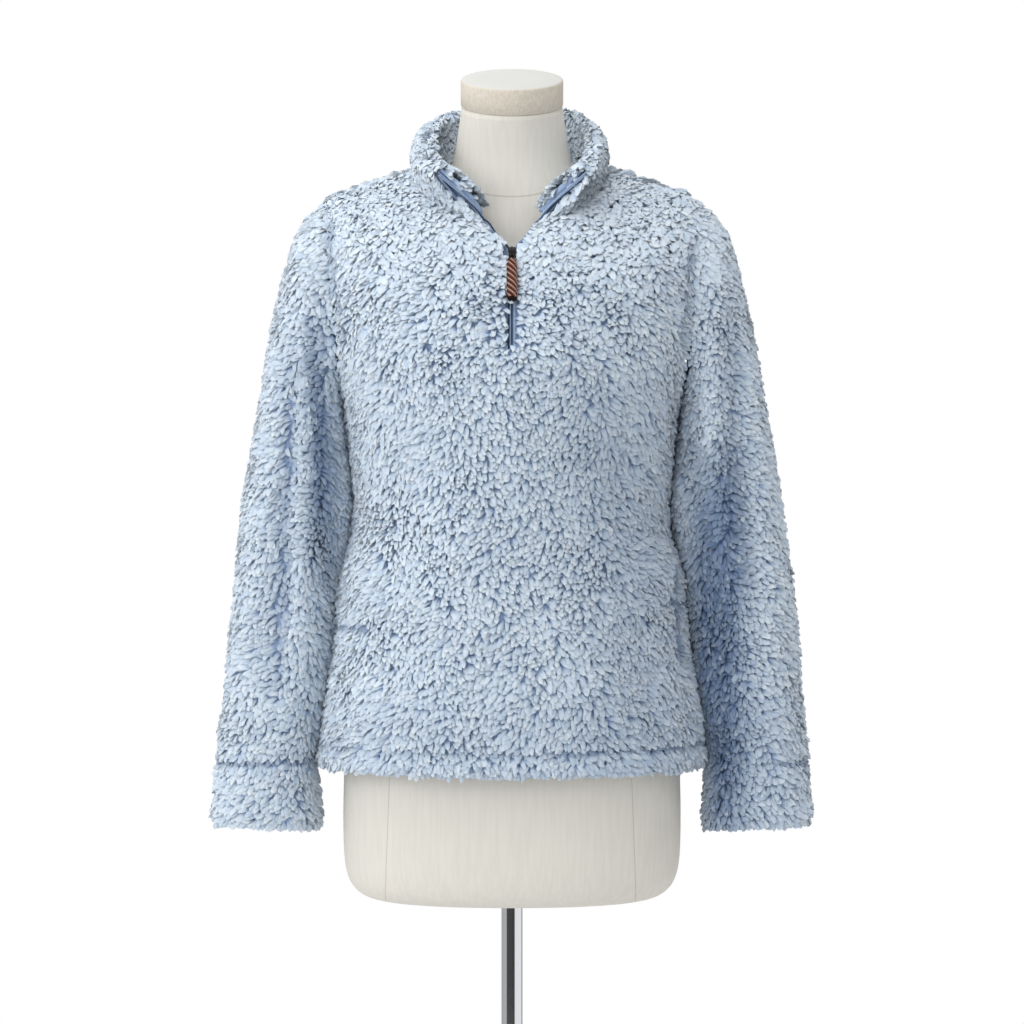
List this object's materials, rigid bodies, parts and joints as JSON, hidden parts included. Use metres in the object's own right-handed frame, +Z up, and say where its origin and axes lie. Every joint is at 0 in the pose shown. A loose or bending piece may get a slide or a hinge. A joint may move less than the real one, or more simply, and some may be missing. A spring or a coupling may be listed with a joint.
{
  "type": "fleece jacket on a dress form",
  "caption": "High-pile fleece quarter-zip pullover jacket with a stand collar, set-in sleeves and a hinged zip pull, worn on a limbless linen dress form with a pole and a round base.",
  "frame": {"origin": "centre of the underside of the round base plate, on the floor", "axes": "+Z up along the pole, the jacket's front with its zip faces -Y, the wearer's left sleeve is at +X"},
  "size_m": [0.631, 0.32, 1.2881],
  "materials": {
    "fleece": "matte high pile, pale at its tips",
    "zip_tape": "woven satin tape",
    "dark_metal": "dark satin",
    "pull_cord": "twisted brown cord with copper strands",
    "linen": "taut plain linen",
    "cap_linen": "taut plain linen",
    "chrome": "polished"
  },
  "bodies": {
    "jacket_on_form": {"front": "fleece", "back": "fleece", "collar": "fleece", "collar_facing": "fleece", "sleeve_left": "fleece", "sleeve_right": "fleece", "zip_tape_left": "zip_tape", "zip_tape_right": "zip_tape", "zip_slider": "dark_metal", "slider_bridge": "dark_metal", "dress_form": "linen", "neck_cap": "cap_linen", "pole": "chrome", "pole_hub": "chrome", "base_plate": "chrome"},
    "zip_pull": {"pull_link": "dark_metal", "pull_grip": "pull_cord"}
  },
  "joints": [
    {"name": "pull_swing", "type": "hinge", "parent": "jacket_on_form", "child": "zip_pull", "pos_m": [0, -0.11164, 1.08667], "axis": [-1, 0, 0], "range_deg": [0, 130]}
  ]
}
